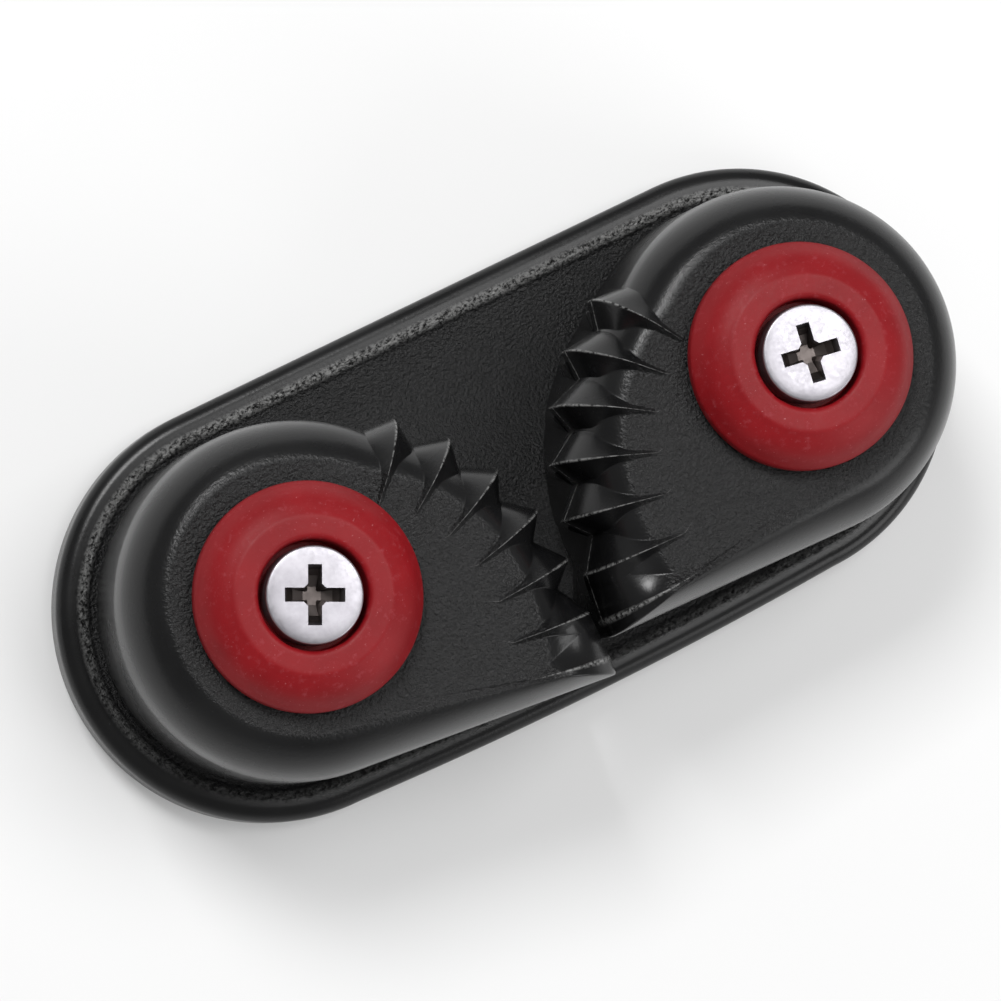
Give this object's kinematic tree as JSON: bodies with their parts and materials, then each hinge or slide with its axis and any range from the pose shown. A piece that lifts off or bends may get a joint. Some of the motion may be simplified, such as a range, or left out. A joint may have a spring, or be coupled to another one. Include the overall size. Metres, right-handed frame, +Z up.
{
  "type": "cam cleat",
  "caption": "Low oval-based cleat with sprung toothed cams on ball bearings that grip a rope between them, held down by screws through their pivots.",
  "frame": {"origin": "middle of the base's underside, on the deck face, halfway between the pivots", "axes": "+Z up out of the deck, +X along the line of pivots from the left cam to the right cam, +Y towards the loaded side of the rope"},
  "size_m": [0.0678, 0.0303, 0.0351],
  "materials": {
    "black_casting": "black-coated casting, satin gloss, rough as-cast flats",
    "black_cam_casting": "black-coated casting, satin gloss, rough flat top",
    "red_moulding": "matte red moulded plastic",
    "plated_steel": "plated, satin",
    "stainless_post": "turned",
    "bearing_balls": "polished",
    "spring_wire": "drawn wire"
  },
  "bodies": {
    "base": {"base": "black_casting", "left_post": "stainless_post", "left_spring": "spring_wire", "left_disc": "red_moulding", "left_screw": "plated_steel", "right_post": "stainless_post", "right_spring": "spring_wire", "right_disc": "red_moulding", "right_screw": "plated_steel"},
    "left_cam": {"left_cam": "black_cam_casting"},
    "left_bearing": {"left_lower_balls": "bearing_balls", "left_upper_balls": "bearing_balls"},
    "right_cam": {"right_cam": "black_cam_casting"},
    "right_bearing": {"right_lower_balls": "bearing_balls", "right_upper_balls": "bearing_balls"}
  },
  "joints": [
    {"name": "left_cam_pivot", "type": "hinge", "parent": "base", "child": "left_cam", "pos_m": [-0.019, 0, 0.012], "axis": [0, 0, -1], "range_deg": [0, 55], "stiffness_Nm_per_rad": 0.05, "springref_deg": -20.05, "deforming": ["left_spring"]},
    {"name": "left_balls_orbit", "type": "hinge", "parent": "base", "child": "left_bearing", "pos_m": [-0.019, 0, 0.012], "axis": [0, 0, -1], "range_deg": [0, 40]},
    {"name": "right_cam_pivot", "type": "hinge", "parent": "base", "child": "right_cam", "pos_m": [0.019, 0, 0.012], "axis": [0, 0, 1], "range_deg": [0, 55], "stiffness_Nm_per_rad": 0.05, "springref_deg": -20.05, "deforming": ["right_spring"]},
    {"name": "right_balls_orbit", "type": "hinge", "parent": "base", "child": "right_bearing", "pos_m": [0.019, 0, 0.012], "axis": [0, 0, 1], "range_deg": [0, 40]}
  ],
  "couplings": [
    {"joint": "left_balls_orbit", "follows": "left_cam_pivot", "ratio": 0.6304},
    {"joint": "right_balls_orbit", "follows": "right_cam_pivot", "ratio": 0.6304}
  ]
}
